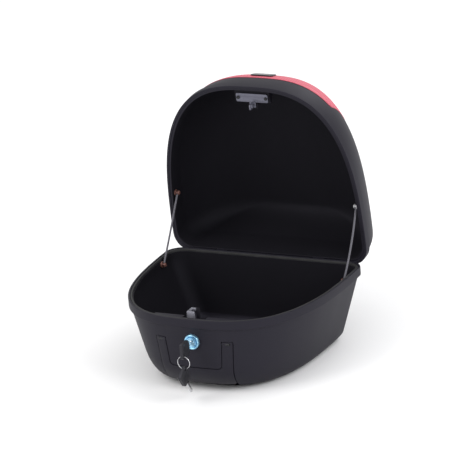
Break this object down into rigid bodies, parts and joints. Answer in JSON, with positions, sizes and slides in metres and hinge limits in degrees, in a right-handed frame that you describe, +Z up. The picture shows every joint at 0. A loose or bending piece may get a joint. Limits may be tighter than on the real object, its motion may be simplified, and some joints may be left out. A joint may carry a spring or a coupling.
{
  "type": "motorcycle top case",
  "caption": "Motorcycle top case: deep plastic tub and rear-hinged domed lid on check cords, key lock, fold-out carry handle, reflector and release plate.",
  "frame": {"origin": "centre of the mounting plate's flat underside", "axes": "+Z up, -Y towards the lock and the rider's rear view side, +Y towards the lid hinge, +X to the right seen from the lock side"},
  "size_m": [0.4, 0.5573, 0.4898],
  "materials": {
    "shell": "fine-grained",
    "inner": "moulded",
    "rubber": "soft",
    "lens": "clear prismatic",
    "base": "reflective",
    "steel": "bright",
    "bezel": "film-covered",
    "plug": "film-covered",
    "catch": "grey",
    "rivet": "brown",
    "pale": "pale grey",
    "cord": "braided"
  },
  "bodies": {
    "tub": {"tub_shell": "shell", "rim_seal": "rubber", "hinge_pin_left": "steel", "hinge_pin_right": "steel", "lock_bezel": "bezel", "lock_barrel": "steel", "lock_nut": "steel", "latch_cover": "inner", "cover_screw_low_left": "steel", "cover_screw_high_left": "steel", "cover_screw_low_right": "steel", "cover_screw_high_right": "steel", "handle_pin_left": "steel", "handle_pin_right": "steel", "tub_cord_post_left": "rivet", "tub_cord_post_right": "rivet", "check_cord_left": "cord", "check_cord_right": "cord"},
    "lid": {"lid_shell": "shell", "reflector_lens": "lens", "reflector_base": "base", "badge_panel": "inner", "catch_plate": "catch", "catch_hook": "catch", "catch_screw_left": "steel", "catch_screw_right": "steel", "lid_cord_post_left": "rivet", "lid_cord_post_right": "pale"},
    "lock_plug": {"lock_plug": "plug", "lock_cam": "steel"},
    "latch": {"latch_tongue": "catch"},
    "key": {"key_bow": "inner", "key_blade": "steel"},
    "key_ring": {"key_ring": "steel"},
    "spare_key": {"spare_key_bow": "inner", "spare_key_blade": "steel"},
    "handle": {"handle_grip": "shell"},
    "plate": {"mounting_plate": "shell"},
    "knob_front": {"plate_knob_front": "inner", "knob_bar_front": "steel"},
    "knob_rear": {"plate_knob_rear": "inner", "knob_bar_rear": "steel"}
  },
  "joints": [
    {"name": "lid_hinge", "type": "hinge", "parent": "tub", "child": "lid", "pos_m": [0, 0.16215, 0.138], "axis": [1, 0, 0], "range_deg": [0, 83], "deforming": ["check_cord_left", "check_cord_right"]},
    {"name": "lock_turn", "type": "hinge", "parent": "tub", "child": "lock_plug", "pos_m": [0, -0.19178, 0.103], "axis": [0, 1, 0], "range_deg": [0, 90]},
    {"name": "latch_slide", "type": "slide", "parent": "tub", "child": "latch", "axis": [1, 0, 0], "range_m": [0, 0.01]},
    {"name": "key_pull", "type": "slide", "parent": "lock_plug", "child": "key", "axis": [0, -1, 0], "range_m": [0, 0.03]},
    {"name": "ring_turn", "type": "hinge", "parent": "key", "child": "key_ring", "pos_m": [0, -0.22628, 0.078], "axis": [0, 1, 0], "range_deg": [-40, 40]},
    {"name": "spare_swing", "type": "hinge", "parent": "key_ring", "child": "spare_key", "pos_m": [0, -0.22628, 0.066], "axis": [1, 0, 0], "range_deg": [-30, 12]},
    {"name": "handle_swing", "type": "hinge", "parent": "tub", "child": "handle", "pos_m": [0, -0.17795, 0.1004], "axis": [-1, 0, 0], "range_deg": [0, 8]},
    {"name": "plate_release", "type": "slide", "parent": "tub", "child": "plate", "axis": [0, 0, -1], "range_m": [0, 0.05]},
    {"name": "knob_front_turn", "type": "hinge", "parent": "tub", "child": "knob_front", "pos_m": [0, -0.05, 0.016], "axis": [0, 0, 1], "range_deg": [0, 90]},
    {"name": "knob_rear_turn", "type": "hinge", "parent": "tub", "child": "knob_rear", "pos_m": [0, 0.05, 0.016], "axis": [0, 0, 1], "range_deg": [0, 90]}
  ],
  "couplings": [
    {"joint": "latch_slide", "follows": "lock_turn", "m_per_rad": 0.006366}
  ]
}
